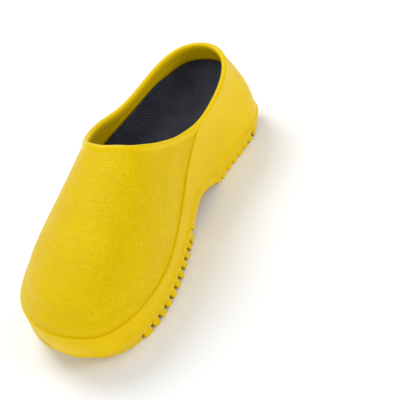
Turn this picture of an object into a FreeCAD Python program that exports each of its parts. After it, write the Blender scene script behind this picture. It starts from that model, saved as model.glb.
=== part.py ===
import FreeCAD, Part
import math
import os

from FreeCAD import Vector

# A moulded garden clog for the right foot.  X points to the inner (medial) side, Y from toe
# to heel and Z up.  The origin is on the ground, in the middle of the clog's length and width.
# Inside the functions, "station" means the distance from the toe along the clog, and stations
# are turned into Y by taking off TOE, the distance from station 0 to the origin.

doc = FreeCAD.newDocument("garden_clog")

# ------------------------------------------------------------------ driving dimensions

SIZES = {
    "clog_length": 290.0,
    "middle_offset": 3.0,
    "toe_distance": 145.7,
    "wall_thickness": 4.0,
    "rim_radius": 3.0,
    "welt_radius": 1.7,
    "tread_height": 6.0,
    "tread_trim": 0.3,
    "plate_thickness": 3.0,
    "panel_thickness": 2.6,
    "footbed_side_gap": 1.8,
    "footbed_under_gap": 0.4,
    "cover_thickness": 1.4,
    "jute_thickness": 1.0,
    "liner_thickness": 1.0,
    "toe_spring": 13.0,
    "toe_contact": 48.0,
    "arch_start": 125.0,
    "arch_peak": 168.0,
    "arch_end": 203.0,
    "arch_height": 13.0,
    "heel_contact": 258.0,
    "heel_bevel": 13.0,
    "tooth_pitch": 9.0,
    "tooth_gap": 2.2,
    "tooth_slope": 2.0,
    "tread_groove": 2.0,
    "knife_width": 200.0,
    "block_pitch": 15.0,
    "channel_width": 2.4,
    "breast_block_width": 14.4,
    "breast_block_depth": 9.6,
    "prism_height": 90.0,
}

sheet = doc.addObject("Spreadsheet::Sheet", "sizes")
for row, (alias, number) in enumerate(SIZES.items(), start=1):
    sheet.set("A%d" % row, alias)
    sheet.set("B%d" % row, str(number))
    sheet.setAlias("B%d" % row, alias)
doc.recompute()


def size(alias):
    """A driving dimension, read from the sheet."""
    return float(sheet.get(alias))


LENGTH = size("clog_length")
MIDDLE = size("middle_offset")
TOE = size("toe_distance")
HALF_KNIFE = size("knife_width") / 2.0


# ------------------------------------------------------------------ curves and profiles

def monotone_profile(points):
    """A height curve that passes through (station, height) points without overshooting."""
    xs = [float(p[0]) for p in points]
    ys = [float(p[1]) for p in points]
    spans = [b - a for a, b in zip(xs, xs[1:])]
    slopes = [(b - a) / w for a, b, w in zip(ys, ys[1:], spans)]
    tangents = [slopes[0]]
    for i in range(1, len(slopes)):
        left, right = slopes[i - 1], slopes[i]
        if left * right <= 0.0:
            tangents.append(0.0)
            continue
        w_left = 2.0 * spans[i] + spans[i - 1]
        w_right = spans[i] + 2.0 * spans[i - 1]
        tangents.append((w_left + w_right) / (w_left / left + w_right / right))
    tangents.append(slopes[-1])

    def height(x):
        x = min(max(x, xs[0]), xs[-1])
        i = 0
        while i < len(spans) - 1 and x > xs[i + 1]:
            i += 1
        w = spans[i]
        f = (x - xs[i]) / w
        return (
            ys[i] * (1 + 2 * f) * (1 - f) ** 2
            + tangents[i] * w * f * (1 - f) ** 2
            + ys[i + 1] * f * f * (3 - 2 * f)
            + tangents[i + 1] * w * f * f * (f - 1)
        )

    return height


def ease(x):
    """Smooth step from 0 to 1."""
    x = min(max(x, 0.0), 1.0)
    return x * x * (3.0 - 2.0 * x)


def ground_height(station):
    """Underside of the tread: toe spring, flat forefoot, arch, flat heel, rolled-up heel end."""
    station = min(max(station, 0.0), LENGTH)
    toe = size("toe_spring") * max(0.0, 1.0 - station / size("toe_contact")) ** 2
    peak = size("arch_peak")
    if station < peak:
        arch = ease((station - size("arch_start")) / (peak - size("arch_start")))
    else:
        arch = ease((size("arch_end") - station) / (size("arch_end") - peak)) ** 0.7
    heel_run = LENGTH - size("heel_contact")
    heel = max(0.0, station - size("heel_contact")) / heel_run
    return toe + size("arch_height") * arch + size("heel_bevel") * heel ** 1.5


# Matched stations round the clog, from the toe by the inner side, the heel and the outer
# side: outline x and station, collar x and station, collar height, height of the vamp's
# dome over the welt, and the part of the way to the collar that the dome takes up.
STATIONS = [
    (19, 1, 3, 125, 102, 17, 0.42),
    (42, 7, 15, 127, 103, 21, 0.45),
    (56, 23, 25, 130, 102, 25, 0.55),
    (62, 55, 31, 137, 98, 32, 0.75),
    (58, 92, 33, 150, 89, 36, 0.95),
    (47, 130, 34, 169, 78, 36, 1.0),
    (38, 168, 36, 193, 68, 32, 1.0),
    (35, 209, 35, 222, 67, 29, 1.0),
    (38, 247, 30, 252, 72, 29, 1.0),
    (33, 279, 16, 273, 76, 28, 1.0),
    (3, 291, -4, 280, 77, 25, 1.0),
    (-27, 283, -24, 271, 76, 23, 1.0),
    (-42, 252, -36, 249, 72, 21, 1.0),
    (-46, 215, -39, 220, 69, 18, 1.0),
    (-52, 172, -38, 190, 72, 15, 1.0),
    (-56, 131, -37, 167, 79, 12, 0.95),
    (-55, 95, -31, 145, 86, 9, 0.8),
    (-48, 58, -23, 133, 92, 8, 0.65),
    (-34, 27, -14, 127, 98, 10, 0.5),
    (-8, 7, -6, 125, 101, 14, 0.43),
]
COLUMNS_PER_STATION = 2

ridge_height = monotone_profile(
    [(0, 18), (25, 16), (90, 14), (130, 14), (168, 21), (190, 18), (209, 14), (250, 14),
     (275, 16), (291, 19)]
)
ground_inset = monotone_profile([(0, 5), (25, 6), (60, 3), (100, 2), (170, 1.5), (291, 2)])
welt_height = monotone_profile(
    [(0, 37), (20, 31.5), (40, 28.5), (80, 26.5), (115, 30), (140, 38), (160, 49),
     (180, 60), (200, 71)]
)
floor_height = monotone_profile(
    [(0, 28), (15, 21), (40, 17), (110, 17), (140, 22), (168, 28), (200, 28), (291, 29)]
)
insole_height = monotone_profile(
    [(0, 34), (20, 27.5), (60, 25.5), (105, 27), (135, 33), (160, 40), (190, 44),
     (225, 44.5), (245, 47), (265, 57), (291, 66)]
)
insole_cup = monotone_profile(
    [(0, 1), (90, 2), (120, 5), (150, 11), (180, 18), (210, 26), (240, 29), (265, 18),
     (291, 3)]
)


def station_curve(*columns):
    """A closed smooth curve through the given columns of STATIONS, one parameter a station."""
    points = []
    for row in STATIONS:
        values = [float(row[c]) for c in columns]
        values += [0.0] * (3 - len(values))
        points.append(Vector(*values))
    curve = Part.BSplineCurve()
    curve.interpolate(
        Points=points, PeriodicFlag=True, Parameters=[float(i) for i in range(len(points) + 1)]
    )
    return curve


outline_curve = station_curve(0, 1)
collar_curve = station_curve(2, 3, 4)
dome_curve = station_curve(5, 6, 1)

DOME_POWER = 2.6
SPREAD_POWER = 1.8
BULGE = 1.1
FRONT_END = 120.0
HEEL_BLEND = 90.0
ROWS_TO_COLLAR = 13
BELOW_GROUND = -14.0
ABOVE_COLLAR = (108.0, 124.0, 140.0)


def outer_column(parameter):
    """Points of the clog's outer surface at one place round it, from below the ground up."""
    rim = outline_curve.value(parameter)
    collar = collar_curve.value(parameter)
    dome, reach, _ = dome_curve.value(parameter)
    reach = min(max(reach, 0.3), 1.0)
    station = rim.y
    inward = Vector(collar.x - rim.x, collar.y - rim.y, 0)
    inward.normalize()
    heel = ease((station - FRONT_END) / HEEL_BLEND)
    ridge = ridge_height(station)
    shelf = (1 - heel) * welt_height(min(station, FRONT_END))
    shelf += heel * (ridge + 0.35 * (collar.z - ridge))
    foot = Vector(rim.x, rim.y, 0) + inward * ground_inset(station)
    edge = Vector(rim.x, rim.y, 0)
    side = edge + inward * (2 * heel - 1)
    welt = edge + inward * (1.5 * (1 - heel) + 2.5 * heel)
    ground = ground_height(station)
    column = [
        Vector(foot.x, foot.y, BELOW_GROUND),
        Vector(foot.x, foot.y, (ground + BELOW_GROUND) / 2),
        Vector(foot.x, foot.y, ground),
        (foot + edge) * 0.5 + Vector(0, 0, (ground + ridge) / 2),
        edge + Vector(0, 0, ridge),
        side + Vector(0, 0, (ridge + shelf) / 2),
        welt + Vector(0, 0, shelf),
    ]
    dome = min(dome, collar.z - shelf - 2.0) * (1 - heel)
    for i in range(1, ROWS_TO_COLLAR + 1):
        f = i / ROWS_TO_COLLAR
        spread = f ** SPREAD_POWER
        g = min(spread / reach, 1.0)
        arch = (1 - (1 - g) ** DOME_POWER) ** (1 / DOME_POWER)
        front_z = shelf + dome * arch + (collar.z - shelf - dome) * spread
        heel_z = shelf + (collar.z - shelf) * f
        along = (1 - heel) * spread + heel * f ** 1.25
        proud = BULGE * math.sin(math.pi * min(1.2 * g, 1.0)) * (1 - heel)
        x = welt.x + (collar.x - welt.x) * along - inward.x * proud
        y = welt.y + (collar.y - welt.y) * along - inward.y * proud
        column.append(Vector(x, y, (1 - heel) * front_z + heel * heel_z))
    column += [Vector(collar.x, collar.y, z) for z in ABOVE_COLLAR]
    return column


COLLAR_ROW = 6 + ROWS_TO_COLLAR


def to_frame(point):
    """From stations and the last's own middle to the clog's frame."""
    return Vector(point.x - MIDDLE, point.y - TOE, point.z)


def outer_grid():
    count = len(STATIONS) * COLUMNS_PER_STATION
    return [
        [to_frame(p) for p in outer_column(i / COLUMNS_PER_STATION)] for i in range(count)
    ]


def grid_normal(grid, i, j):
    """Outward normal of the grid at column i and row j."""
    around = grid[(i + 1) % len(grid)][j] - grid[i - 1][j]
    up = grid[i][min(j + 1, len(grid[i]) - 1)] - grid[i][max(j - 1, 0)]
    normal = around.cross(up)
    normal.normalize()
    return normal


def inset_grid(grid, inset):
    """The same grid moved inwards by the inset, with its flat ends kept at their heights."""
    moved = []
    for i, column in enumerate(grid):
        points = []
        for j, point in enumerate(column):
            normal = grid_normal(grid, i, j)
            if j in (0, 1, len(column) - 1):
                normal.z = 0
                normal.normalize()
            points.append(point - normal * inset)
        moved.append(points)
    return moved


def sharpened(values):
    """Poles of a closed cubic whose curve passes close to the given points."""
    count = len(values)
    poles = list(values)
    for _ in range(4):
        curve = [
            (poles[i - 1] + poles[i] * 4 + poles[(i + 1) % count]) * (1 / 6.0)
            for i in range(count)
        ]
        poles = [pole + (value - on) for pole, value, on in zip(poles, values, curve)]
    return poles


def smooth_surface(grid, closed_rows):
    """Cubic surface over a grid that is closed round its columns, and also along its rows
    where closed_rows is true."""
    rows = [sharpened(list(row)) for row in zip(*grid)]
    if closed_rows:
        columns = [sharpened(list(column)) for column in zip(*rows)]
    else:
        columns = [list(column) for column in zip(*rows)]
    n, m = len(columns), len(columns[0])
    around_knots = [float(i) for i in range(n + 1)]
    if closed_rows:
        row_knots = [float(i) for i in range(m + 1)]
        row_mults = [1] * (m + 1)
    else:
        row_knots = [float(i) for i in range(m - 2)]
        row_mults = [4] + [1] * (m - 4) + [4]
    surface = Part.BSplineSurface()
    surface.buildFromPolesMultsKnots(
        columns, [1] * (n + 1), row_mults, around_knots, row_knots, True, closed_rows, 3, 3
    )
    return surface


def solid_within(shell):
    """The solid inside a closed shell, with its faces turned outwards."""
    solid = Part.Solid(shell)
    if solid.Volume < 0:
        shell = shell.reversed()
        solid = Part.Solid(shell)
    return solid


def sewn(faces):
    shell = Part.makeShell(faces)
    shell.sewShape()
    return shell


PATCHES = 4


def patches(surface, row_breaks):
    """The surface as faces: quarters of the way round, between the given row parameters."""
    around = surface.bounds()[1]
    quarter = around / PATCHES
    return [
        surface.toShape(k * quarter, (k + 1) * quarter, low, high)
        for k in range(PATCHES)
        for low, high in zip(row_breaks, row_breaks[1:])
    ]


def end_cap(faces, surface, row):
    """Flat face across the open end of the faces where the surface's row parameter is row."""
    edges = []
    for face in faces:
        for edge in face.Edges:
            middle = edge.valueAt((edge.FirstParameter + edge.LastParameter) / 2)
            if abs(surface.parameter(middle)[1] - row) < 1e-6:
                edges.append(edge)
    return Part.Face(Part.Wire(Part.__sortEdges__(edges)))


def capped_solid(grid):
    """Solid inside a closed grid, with a flat cap at each end."""
    surface = smooth_surface(grid, False)
    first, last = surface.bounds()[2:]
    sides = patches(surface, [first, last])
    caps = [end_cap(sides, surface, row) for row in (first, last)]
    return solid_within(sewn(sides + caps))


def ring_solid(grid):
    """Solid inside a grid that closes on itself both ways, like a torus."""
    surface = smooth_surface(grid, True)
    along = surface.bounds()[3]
    return solid_within(sewn(patches(surface, [0.0, along / 2, along])))


def feature(name, shape):
    """A document object that holds a freely shaped solid."""
    made = doc.addObject("Part::Feature", name)
    made.Shape = shape
    made.Placement = FreeCAD.Placement()
    return made


outer = outer_grid()
inner = inset_grid(outer, size("wall_thickness"))
footbed_side = inset_grid(outer, size("wall_thickness") + size("footbed_side_gap"))

outer_volume = feature("outer_volume", capped_solid(outer))
inner_volume = feature("inner_volume", capped_solid(inner))
footbed_volume = feature("footbed_volume", capped_solid(footbed_side))


# ------------------------------------------------------------------ collar rim and welt

def round_section(centre, tangent, outward, radius, points):
    """Points of a circle across the tangent, from a quarter turn off the outward side round."""
    across = tangent.cross(outward)
    across.normalize()
    out = across.cross(tangent)
    out.normalize()
    return [
        centre
        - out * (radius * math.sin(2 * math.pi * k / points))
        + across * (radius * math.cos(2 * math.pi * k / points))
        for k in range(points)
    ]


SECTION_POINTS = 10
# The rim starts at another column than the walls, so that no seams fall together.
RIM_START = 5


def rim_centres():
    centres = []
    for i, column in enumerate(outer):
        depth = size("wall_thickness") / 2.0
        centres.append(column[COLLAR_ROW] - grid_normal(outer, i, COLLAR_ROW) * depth)
    return centres


def rim_solid(centres, radius):
    grid = []
    for i, centre in enumerate(centres):
        tangent = centres[(i + 1) % len(centres)] - centres[i - 1]
        tangent.normalize()
        outward = grid_normal(outer, i, COLLAR_ROW)
        grid.append(round_section(centre, tangent, outward, radius, SECTION_POINTS))
    return ring_solid(grid[RIM_START:] + grid[:RIM_START])


def closed_wire(points):
    curve = Part.BSplineCurve()
    curve.interpolate(Points=points, PeriodicFlag=True)
    return Part.Wire([curve.toShape()])


KNIFE_REACH = 14.0
KNIFE_TOP = 150.0
KNIFE_LIFT = 0.8
KNIFE_START = 3


def trim_ring(centres):
    """Everything over the collar line: a ring of rectangular section that stands just over
    the rim's centres, so that the wall under it ends inside the rim."""
    corners = [[], [], [], []]
    for i, centre in enumerate(centres):
        tangent = centres[(i + 1) % len(centres)] - centres[i - 1]
        out = Vector(tangent.y, -tangent.x, 0)
        out.normalize()
        foot = centre + Vector(0, 0, KNIFE_LIFT)
        low_in = foot - out * KNIFE_REACH
        low_out = foot + out * KNIFE_REACH
        corners[0].append(low_in)
        corners[1].append(low_out)
        corners[2].append(Vector(low_out.x, low_out.y, KNIFE_TOP))
        corners[3].append(Vector(low_in.x, low_in.y, KNIFE_TOP))
    wires = [closed_wire(points[KNIFE_START:] + points[:KNIFE_START]) for points in corners]
    faces = []
    for lower, upper in zip(wires, wires[1:] + wires[:1]):
        faces += Part.makeRuledSurface(lower.Edges[0], upper.Edges[0]).Faces
    return solid_within(sewn(faces))


centres = rim_centres()
rim_tube = feature("rim_tube", rim_solid(centres, size("rim_radius")))
collar_knife = feature("collar_knife", trim_ring(centres))


WELT_END = 196.0
WELT_END_HEIGHT = 72.0
WELT_END_SLOPE = 5.0


def welt_path():
    """Points on the outer surface at the welt's height, from the outer side round the toe
    to the inner side, as (column position, point, outward normal)."""
    crossings = []
    count = len(outer)
    for i in range(count):
        column = outer[i]
        for j in range(4, COLLAR_ROW):
            low, high = column[j], column[j + 1]
            level = welt_height(low.y + TOE)
            level_up = welt_height(high.y + TOE)
            if low.z <= level and high.z > level_up:
                f = (level - low.z) / ((high.z - low.z) - (level_up - level))
                point = low + (high - low) * f
                place = i if i < count / 2 else i - count
                if point.y + TOE < WELT_END:
                    crossings.append((place, point, grid_normal(outer, i, j)))
                break
    crossings.sort(key=lambda crossing: crossing[0])
    return [ended_on_rim(crossings[0])] + crossings + [ended_on_rim(crossings[-1])]


def ended_on_rim(crossing):
    """The welt's last point, carried on up its slope to the collar's rim."""
    place, point, normal = crossing
    ahead = [c for c in centres if c.y > point.y + 4.0 and c.x * point.x > 0]
    nearest = min(ahead, key=lambda c: (c - point).Length)
    return place, nearest, normal


def welt_solid(radius):
    """Round bead along the welt, open at both ends."""
    path = welt_path()
    grid_rows = []
    for i, (_, centre, normal) in enumerate(path):
        after = path[min(i + 1, len(path) - 1)][1]
        before = path[max(i - 1, 0)][1]
        tangent = after - before
        tangent.normalize()
        grid_rows.append(round_section(centre, tangent, normal, radius, SECTION_POINTS))
    return capped_solid([list(column) for column in zip(*grid_rows)])


welt_tube = feature("welt_tube", welt_solid(size("welt_radius")))


# ------------------------------------------------------------------ knives seen from the side

def side_face(name, low, high):
    """A face in the YZ plane between two height curves, over the whole length and beyond."""
    step = 6.0
    stations = [-12.0 + step * i for i in range(int((LENGTH + 30.0) / step) + 1)]

    def spline(height):
        points = [Vector(-HALF_KNIFE, u - TOE, height(u)) for u in stations]
        curve = Part.BSplineCurve()
        curve.interpolate(Points=points)
        return curve.toShape()

    bottom = spline(low)
    top = spline(high)
    ends = [
        Part.makeLine(bottom.Vertexes[k].Point, top.Vertexes[k].Point) for k in (0, -1)
    ]
    wire = Part.Wire([bottom, ends[1], top, ends[0]])
    return feature(name, Part.Face(wire))


def side_slab(name, low, high):
    """The space between two height curves, right across the clog."""
    slab = doc.addObject("Part::Extrusion", name)
    slab.Base = side_face(name + "_face", low, high)
    slab.Dir = Vector(1, 0, 0)
    slab.DirMode = "Custom"
    slab.Solid = True
    slab.setExpression("LengthFwd", "sizes.knife_width")
    return slab


def plate_bottom(station):
    return ground_height(station) + size("tread_height")


def plate_top(station):
    return plate_bottom(station) + size("plate_thickness")


def panel_bottom(station):
    return plate_bottom(station) - size("panel_thickness")


def welt_cut(station):
    """Top of the sole unit: the welt line, then steeply up where the welt meets the collar."""
    if station < WELT_END:
        return welt_height(station)
    return min(WELT_END_HEIGHT + (station - WELT_END) * WELT_END_SLOPE, KNIFE_TOP)


def tread_bottom(station):
    """A little under the ground line: the flat of the ground trims it where the clog stands."""
    return ground_height(station) - size("tread_trim")


tread_slab = side_slab("tread_slab", tread_bottom, plate_bottom)
plate_slab = side_slab("plate_slab", plate_bottom, plate_top)
panel_slab = side_slab("panel_slab", panel_bottom, plate_bottom)
midsole_slab = side_slab("midsole_slab", plate_top, floor_height)
wall_slab = side_slab("wall_slab", plate_top, lambda station: KNIFE_TOP)
sole_slab = side_slab("sole_slab", plate_top, welt_cut)


# ------------------------------------------------------------------ boolean helpers

def common(name, base, tool):
    made = doc.addObject("Part::Common", name)
    made.Base = base
    made.Tool = tool
    made.Refine = False
    return made


def cut(name, base, tool):
    made = doc.addObject("Part::Cut", name)
    made.Base = base
    made.Tool = tool
    made.Refine = False
    return made


sub_parts = []


def keep(made, label):
    made.Label = label
    sub_parts.append(made)
    return made


# ------------------------------------------------------------------ upper and sole unit

wall_block = common("wall_block", outer_volume, wall_slab)
wall_shell = cut("wall_shell", wall_block, inner_volume)
wall_trimmed = cut("wall_trimmed", wall_shell, collar_knife)
wall_rimmed = cut("wall_rimmed", wall_trimmed, rim_tube)
wall_welted = cut("wall_welted", wall_rimmed, welt_tube)

keep(cut("vamp_cut", wall_welted, sole_slab), "vamp")
keep(common("side_wall_cut", wall_welted, sole_slab), "heel_and_side_wall")
keep(cut("welt_cut", cut("welt_trimmed", welt_tube, inner_volume), rim_tube), "welt_bead")
keep(rim_tube, "collar_rim")
keep(common("midsole_cut", inner_volume, midsole_slab), "midsole")
keep(common("plate_cut", outer_volume, plate_slab), "outsole_plate")


# ------------------------------------------------------------------ tread

def plane_of(body, role):
    for item in body.Origin.OriginFeatures:
        if item.Role == role:
            return item
    raise ValueError(role)


def sketch_on(body, role, name):
    sketch = body.newObject("Sketcher::SketchObject", name)
    sketch.AttachmentSupport = (plane_of(body, role), "")
    sketch.MapMode = "FlatFace"
    return sketch


def pad(body, sketch, name, alias, midplane=False):
    made = body.newObject("PartDesign::Pad", name)
    made.Profile = sketch
    made.setExpression("Length", "sizes." + alias)
    made.Midplane = midplane
    body.Tip = made
    return made


def closed_outline(sketch, points):
    """Straight-sided outline through plan points given as (x, station)."""
    corners = [Vector(x, u - TOE, 0) for x, u in points]
    for start, end in zip(corners, corners[1:] + corners[:1]):
        sketch.addGeometry(Part.LineSegment(start, end), False)


def arc_sided_outline(sketch, corners, bulges):
    """Outline through plan corners whose sides are arcs that stand off the chord by bulges."""
    points = [Vector(x, u - TOE, 0) for x, u in corners]
    for start, end, bulge in zip(points, points[1:] + points[:1], bulges):
        if bulge == 0:
            sketch.addGeometry(Part.LineSegment(start, end), False)
            continue
        chord = end - start
        across = Vector(chord.y, -chord.x, 0)
        across.normalize()
        sketch.addGeometry(Part.Arc(start, (start + end) * 0.5 + across * bulge, end), False)


def prism(name, corners, bulges):
    """Upright block over an arc-sided plan outline, from below the ground to above the floor."""
    body = doc.addObject("PartDesign::Body", name)
    sketch = sketch_on(body, "XY_Plane", name + "_outline")
    arc_sided_outline(sketch, corners, bulges)
    pad(body, sketch, name + "_pad", "prism_height", midplane=True)
    return body


def ground_block():
    """Everything under the ground, with its flat top at Z 0."""
    block = doc.addObject("Part::Box", "ground_block")
    block.setExpression("Length", "sizes.knife_width")
    block.setExpression("Width", "sizes.clog_length + 60")
    block.setExpression("Height", "sizes.prism_height")
    corner = Vector(-HALF_KNIFE, -TOE - 30.0, -size("prism_height"))
    block.Placement = FreeCAD.Placement(corner, FreeCAD.Rotation())
    return block


tread = cut("tread", common("tread_over_curve", outer_volume, tread_slab), ground_block())

# Plan outlines as (x, station) corners, anticlockwise, with the stand-off of each side.
TOE_ZONE = [(-90, -20), (90, -20), (90, 40), (-90, 40)]
HEEL_END_ZONE = [(-90, 262), (90, 262), (90, 310), (-90, 310)]
FOREFOOT_ZONE = [(-90, 42), (90, 42), (90, 129), (-90, 129)]
WAIST_ZONE = [(-90, 131), (90, 131), (90, 201), (-90, 201)]
HEEL_ZONE = [(-90, 203), (90, 203), (90, 260), (-90, 260)]
FOREFOOT_FIELD = [(-32, 44), (41, 44), (32, 127), (-42, 127)]
FOREFOOT_BULGES = [3, 6, 0, 3]
WAIST_FIELD = [(-38, 131), (27, 131), (19, 201), (-28, 201)]
WAIST_BULGES = [0, -9, 0, -5]
HEEL_FIELD = [(-28, 203), (20, 203), (20, 260), (-28, 260)]
HEEL_BULGES = [0, 0, 0, 0]


def grown(corners, by):
    """The outline's corners moved away from its middle by the given distance on each axis."""
    mid_x = sum(x for x, _ in corners) / len(corners)
    mid_u = sum(u for _, u in corners) / len(corners)
    return [
        (x + math.copysign(by, x - mid_x), u + math.copysign(by, u - mid_u))
        for x, u in corners
    ]


def zone(name, corners):
    """The part of the tread inside a straight-sided plan zone."""
    return common(name + "_tread", tread, prism(name + "_zone", corners, [0, 0, 0, 0]))


def tooth_cutter(name, first_station, count):
    """Slots across the clog between teeth: each has one upright side and one sloped side."""
    body = doc.addObject("PartDesign::Body", name)
    sketch = sketch_on(body, "YZ_Plane", name + "_profile")
    y = first_station - TOE
    gap = size("tooth_gap")
    corners = [
        Vector(y, BELOW_GROUND, 0),
        Vector(y + gap + size("tooth_slope") * 2, BELOW_GROUND, 0),
        Vector(y + gap + size("tooth_slope"), 0, 0),
        Vector(y + gap, size("tread_height"), 0),
        Vector(y + gap, -BELOW_GROUND * 3, 0),
        Vector(y, -BELOW_GROUND * 3, 0),
    ]
    for start, end in zip(corners, corners[1:] + corners[:1]):
        sketch.addGeometry(Part.LineSegment(start, end), False)
    slot = pad(body, sketch, name + "_slot", "knife_width", midplane=True)
    row = body.newObject("PartDesign::LinearPattern", name + "_row")
    row.Originals = [slot]
    row.Direction = (plane_of(body, "Y_Axis"), [""])
    row.Mode = "Spacing"
    row.setExpression("Offset", "sizes.tooth_pitch")
    row.Occurrences = count
    body.Tip = row
    return body


def side_lugs(name, zone_tread, field, bulges, first_tooth, teeth):
    """Both rows of side lugs of one zone: what the field and the slots leave of the tread,
    split into the inner and the outer side."""
    clearance = prism(name + "_clearance", grown(field, size("tread_groove")), bulges)
    ring = cut(name + "_ring", zone_tread, clearance)
    cutter = tooth_cutter(name + "_slots", first_tooth, teeth)
    toothed = cut(name + "_toothed", ring, cutter)
    for side, low, high in (("medial", -5, 90), ("lateral", -90, -5)):
        corners = [(low, -30), (high, -30), (high, 320), (low, 320)]
        half = prism("%s_%s_half" % (name, side), corners, [0, 0, 0, 0])
        keep(common("%s_%s_cut" % (name, side), toothed, half), "%s_lugs_%s" % (name, side))


forefoot_tread = zone("forefoot", FOREFOOT_ZONE)
waist_tread = zone("waist", WAIST_ZONE)
heel_tread = zone("heel", HEEL_ZONE)
keep(zone("toe", TOE_ZONE), "toe_bevel_pad")
keep(zone("heel_end", HEEL_END_ZONE), "heel_bevel_pad")
side_lugs("forefoot", forefoot_tread, FOREFOOT_FIELD, FOREFOOT_BULGES, 49.0, 9)
side_lugs("waist", waist_tread, WAIST_FIELD, WAIST_BULGES, 138.0, 7)
side_lugs("heel", heel_tread, HEEL_FIELD, HEEL_BULGES, 210.0, 6)

panel = prism("panel_prism", WAIST_FIELD, WAIST_BULGES)
keep(common("panel_cut", panel_slab, panel), "shank_panel")


def wavy_channel(sketch, start, step, side, count, width, bow):
    """Channel of even width that snakes along step, made of arcs that bow left and right."""
    across = Vector(side)
    ends = [start + step * k for k in range(count + 1)]

    def edge(offset, order):
        for k in order:
            sign = 1 if k % 2 == 0 else -1
            a = ends[k] + across * offset
            b = ends[k + 1] + across * offset
            middle = (a + b) * 0.5 + across * (bow * sign)
            sketch.addGeometry(Part.Arc(a, middle, b), False)

    edge(width / 2, range(count))
    edge(-width / 2, range(count))
    for end in (ends[0], ends[-1]):
        line = Part.LineSegment(end - across * (width / 2), end + across * (width / 2))
        sketch.addGeometry(line, False)


CHANNEL_BOW = 3.2


def wavy_cutter(name, start, step, side, count, spacing, repeats):
    """Parallel wavy channels, the given spacing apart."""
    body = doc.addObject("PartDesign::Body", name)
    sketch = sketch_on(body, "XY_Plane", name + "_channel")
    wavy_channel(sketch, start, step, side, count, size("channel_width"), CHANNEL_BOW)
    channel = pad(body, sketch, name + "_pad", "prism_height", midplane=True)
    row = body.newObject("PartDesign::LinearPattern", name + "_row")
    row.Originals = [channel]
    axis = "X_Axis" if abs(side.x) > 0.5 else "Y_Axis"
    row.Direction = (plane_of(body, axis), [""])
    row.Mode = "Spacing"
    row.Offset = spacing
    row.Occurrences = repeats
    body.Tip = row
    return body


def wave_blocks(label, zone_tread, field, bulges, first_x, first_u, columns, rows):
    """Interlocking blocks: the field cut by wavy channels along and across the clog."""
    name = label + "_field"
    block = common(name + "_tread", zone_tread, prism(name, field, bulges))
    pitch = size("block_pitch")
    low_u = first_u - 3 * pitch
    along_start = Vector(first_x, low_u - TOE, 0)
    along = wavy_cutter(name + "_along", along_start, Vector(0, pitch, 0), Vector(1, 0, 0),
                        2 * rows + 6, pitch, columns)
    low_x = first_x - 3 * pitch
    across_start = Vector(low_x, first_u - TOE, 0)
    across = wavy_cutter(name + "_across", across_start, Vector(pitch, 0, 0),
                         Vector(0, 1, 0), 2 * columns + 6, pitch, rows)
    keep(cut(name + "_cut", cut(name + "_rows", block, along), across), label)


wave_blocks("forefoot_centre_blocks", forefoot_tread, FOREFOOT_FIELD, FOREFOOT_BULGES,
            -31.0, 58.0, 5, 5)

HEEL_CENTRE_FIELD = [(-28, 215), (20, 215), (20, 260), (-28, 260)]
wave_blocks("heel_centre_blocks", heel_tread, HEEL_CENTRE_FIELD, HEEL_BULGES,
            -19.0, 226.0, 3, 3)


def breast_blocks():
    """Three blocks in a row across the front edge of the heel."""
    width = size("breast_block_width")
    depth = size("breast_block_depth")
    pitch = width + size("tread_groove")
    front = HEEL_ZONE[0][1] + 0.2
    first = HEEL_FIELD[0][0]
    body = doc.addObject("PartDesign::Body", "breast_blocks")
    sketch = sketch_on(body, "XY_Plane", "breast_blocks_outline")
    closed_outline(sketch, [(first, front), (first + width, front),
                            (first + width, front + depth), (first, front + depth)])
    block = pad(body, sketch, "breast_block", "prism_height", midplane=True)
    row = body.newObject("PartDesign::LinearPattern", "breast_block_row")
    row.Originals = [block]
    row.Direction = (plane_of(body, "X_Axis"), [""])
    row.Mode = "Spacing"
    row.Offset = pitch
    row.Occurrences = 3
    body.Tip = row
    return body


keep(common("breast_cut", heel_tread, breast_blocks()), "heel_breast_blocks")


# ------------------------------------------------------------------ footbed

CUP_POWER = 2.6
# A height over every point of the footbed.
OVER_FOOTBED = 80.0


def insole_surface(drop):
    """The foot side of the footbed, lowered by drop: higher at its edges, most at the heel."""
    across = [-75.0 + 12.5 * i for i in range(13)]
    stations = [-15.0 + 15.0 * i for i in range(22)]
    poles = []
    for x in across:
        line = []
        for station in stations:
            middle = 1.0 - 6.0 * ease((station - 110.0) / 80.0)
            half = 56.0 - 17.0 * ease((station - 90.0) / 90.0)
            edge = min(abs(x - middle) / half, 1.25)
            z = insole_height(station) + insole_cup(station) * edge ** CUP_POWER - drop
            line.append(Vector(x, station - TOE, z))
        poles.append(line)
    surface = Part.BSplineSurface()
    surface.interpolate(poles)
    return surface.toShape()


def layer(label, drop, thickness):
    """A sheet of even upright thickness under the foot side of the footbed."""
    sheet_shape = insole_surface(drop + thickness).extrude(Vector(0, 0, thickness))
    slab = feature(label + "_sheet", sheet_shape)
    keep(common(label + "_cut", footbed_volume, slab), label)


def liner_bottom(station):
    return floor_height(station) + size("footbed_under_gap")


def liner_top(station):
    return liner_bottom(station) + size("liner_thickness")


cover = size("cover_thickness")
jute = size("jute_thickness")
layer("footbed_cover", 0.0, cover)
layer("footbed_jute", cover, jute)
liner_slab = side_slab("liner_slab", liner_bottom, liner_top)
keep(common("liner_cut", footbed_volume, liner_slab), "footbed_liner")
core_slab = side_slab("core_slab", liner_top, lambda station: OVER_FOOTBED)
core_block = common("core_block", footbed_volume, core_slab)
over_core = feature(
    "over_core", insole_surface(cover + jute).extrude(Vector(0, 0, OVER_FOOTBED))
)
keep(cut("core_cut", core_block, over_core), "footbed_core")


# ------------------------------------------------------------------ checks and files

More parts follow.
